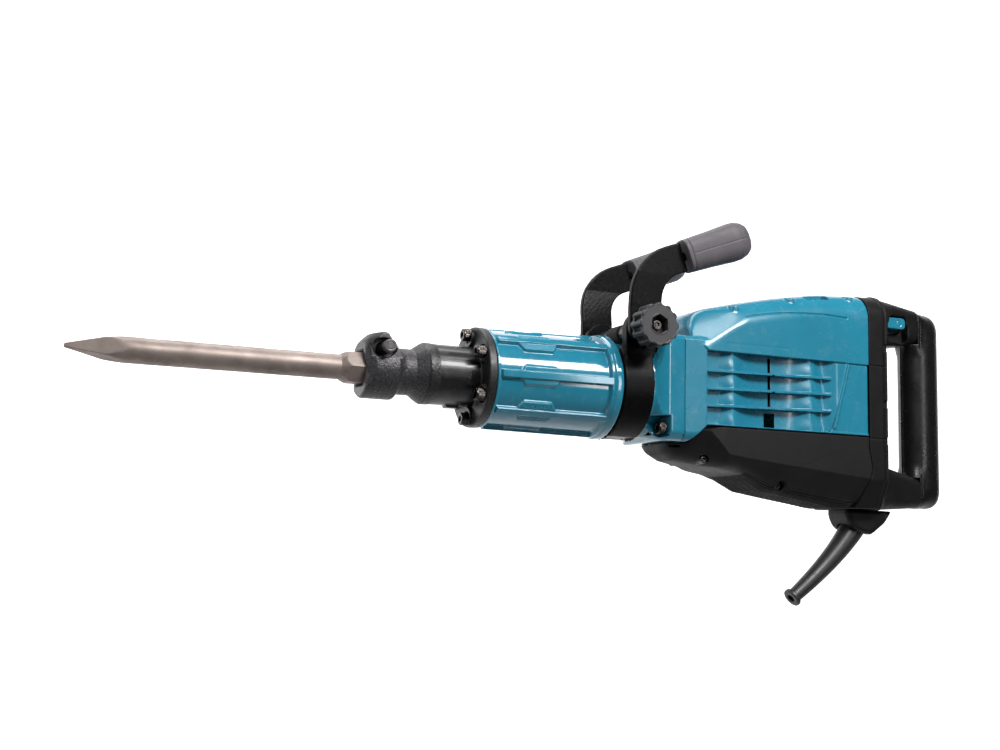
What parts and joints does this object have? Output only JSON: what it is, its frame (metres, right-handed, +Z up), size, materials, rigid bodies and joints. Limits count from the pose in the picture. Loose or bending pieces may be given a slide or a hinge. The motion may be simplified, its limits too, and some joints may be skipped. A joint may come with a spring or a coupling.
{
  "type": "demolition hammer",
  "caption": "Electric demolition hammer with a bull-point chisel, swivelling twin side handle, motor hood and rear D-handle, with its percussion and drive parts inside.",
  "frame": {"origin": "under the middle of the bounding box, at the level of the cord guard's end", "axes": "+X along the barrel axis towards the rear D-handle, the chisel points to -X; +Z up towards the side handle; the tool's middle plane is Y = 0"},
  "size_m": [1.137, 0.1942, 0.4605],
  "materials": {
    "chisel_steel": "forged steel, warm grey",
    "black_steel": "black oxide and satin black paint",
    "bright_steel": "ground steel",
    "teal_paint": "glossy teal enamel on cast aluminium",
    "teal_plastic": "glossy teal plastic",
    "black_plastic": "fine-grained black plastic",
    "rubber": "black moulded rubber",
    "cast_iron": "dark iron",
    "aluminium": "machined",
    "copper": "copper windings and segments",
    "brass": "pressed brass",
    "board_green": "coated circuit board"
  },
  "bodies": {
    "hammer_body": {"tool_holder": "black_steel", "flange_bolt_1": "black_steel", "flange_bolt_2": "black_steel", "flange_bolt_3": "black_steel", "flange_bolt_4": "black_steel", "flange_bolt_5": "black_steel", "flange_bolt_6": "black_steel", "barrel_housing": "teal_paint", "impact_bolt_bushing": "cast_iron", "cylinder_liner": "bright_steel", "counterweight_spring_front": "bright_steel", "counterweight_spring_rear": "bright_steel", "crankcase": "teal_paint", "crankcase_bolt_left": "black_steel", "crankcase_bolt_right": "black_steel", "crank_bearing": "bright_steel", "stator": "cast_iron", "upper_motor_bearing": "bright_steel", "lower_motor_bearing": "bright_steel", "carbon_brush_left": "cast_iron", "brush_holder_left": "brass", "carbon_brush_right": "cast_iron", "brush_holder_right": "brass", "motor_hood": "teal_plastic", "lower_cover": "black_plastic", "rear_housing": "black_plastic", "rear_grip": "rubber", "control_board": "board_green", "cord_gland": "black_plastic", "cord_guard": "rubber", "switch_body": "black_plastic"},
    "chisel": {"bull_point_chisel": "chisel_steel"},
    "retainer": {"retainer_pin": "bright_steel"},
    "impact_bolt": {"impact_bolt": "bright_steel"},
    "striker": {"striker": "bright_steel", "striker_o_ring": "rubber"},
    "piston": {"piston": "aluminium", "piston_o_ring": "rubber", "wrist_pin": "bright_steel"},
    "connecting_rod": {"connecting_rod": "bright_steel", "crank_pin": "bright_steel"},
    "crank": {"crankshaft": "bright_steel", "crank_gear": "bright_steel"},
    "intermediate_gear": {"intermediate_shaft": "bright_steel", "intermediate_gear": "bright_steel"},
    "armature": {"armature_shaft": "bright_steel", "armature_core": "copper", "commutator": "copper", "cooling_fan": "black_plastic"},
    "counterweight": {"counterweight_ring": "cast_iron"},
    "handle_clamp": {"clamp_band": "black_steel", "clamp_spacer": "bright_steel"},
    "handle_arms": {"handle_arm_left": "black_steel", "handle_arm_right": "black_steel", "handle_grip_left": "rubber", "handle_grip_right": "rubber", "clamp_bolt": "bright_steel"},
    "clamp_knob": {"clamp_knob": "black_plastic"},
    "switch_lever": {"switch_lever": "teal_plastic"},
    "speed_dial": {"speed_dial": "black_plastic"}
  },
  "joints": [
    {"name": "chisel_slide", "type": "slide", "parent": "hammer_body", "child": "chisel", "axis": [1, 0, 0], "range_m": [-0.022, 0]},
    {"name": "retainer_turn", "type": "hinge", "parent": "hammer_body", "child": "retainer", "pos_m": [-0.2285, 0, 0.2804], "axis": [0, 1, 0], "range_deg": [0, 180]},
    {"name": "impact_bolt_slide", "type": "slide", "parent": "hammer_body", "child": "impact_bolt", "axis": [1, 0, 0], "range_m": [-0.008, 0]},
    {"name": "striker_slide", "type": "slide", "parent": "hammer_body", "child": "striker", "axis": [1, 0, 0], "range_m": [0, 0.024]},
    {"name": "piston_slide", "type": "slide", "parent": "hammer_body", "child": "piston", "axis": [1, 0, 0], "range_m": [-0.04, 0]},
    {"name": "rod_swing", "type": "hinge", "parent": "piston", "child": "connecting_rod", "pos_m": [0.0745, 0, 0.2584], "axis": [0, 0, 1], "range_deg": [-12.2, 12.2]},
    {"name": "crank_spin", "type": "hinge", "parent": "hammer_body", "child": "crank", "pos_m": [0.1485, 0, 0.2584], "axis": [0, 0, 1], "continuous": true},
    {"name": "intermediate_spin", "type": "hinge", "parent": "hammer_body", "child": "intermediate_gear", "pos_m": [0.2005, 0, 0.2584], "axis": [0, 0, 1], "continuous": true},
    {"name": "armature_spin", "type": "hinge", "parent": "hammer_body", "child": "armature", "pos_m": [0.2455, 0, 0.2584], "axis": [0, 0, 1], "continuous": true},
    {"name": "counterweight_slide", "type": "slide", "parent": "hammer_body", "child": "counterweight", "axis": [1, 0, 0], "range_m": [-0.008, 0.008], "stiffness_N_per_m": 7000, "deforming": ["counterweight_spring_front", "counterweight_spring_rear"]},
    {"name": "handle_swivel", "type": "hinge", "parent": "hammer_body", "child": "handle_clamp", "pos_m": [0.0815, 0, 0.2584], "axis": [1, 0, 0], "continuous": true},
    {"name": "handle_tilt", "type": "hinge", "parent": "handle_clamp", "child": "handle_arms", "pos_m": [0.0815, 0, 0.3244], "axis": [0, 1, 0], "range_deg": [-120, 15]},
    {"name": "knob_turn", "type": "hinge", "parent": "handle_arms", "child": "clamp_knob", "pos_m": [0.0815, 0, 0.3244], "axis": [0, 1, 0], "range_deg": [0, 360]},
    {"name": "switch_slide", "type": "slide", "parent": "hammer_body", "child": "switch_lever", "axis": [0, 1, 0], "range_m": [0, 0.008]},
    {"name": "speed_dial_turn", "type": "hinge", "parent": "hammer_body", "child": "speed_dial", "pos_m": [0.4265, 0, 0.2784], "axis": [0, 1, 0], "range_deg": [0, 270]}
  ],
  "couplings": [
    {"joint": "intermediate_spin", "follows": "armature_spin", "ratio": -0.25},
    {"joint": "crank_spin", "follows": "armature_spin", "ratio": 0.075}
  ]
}
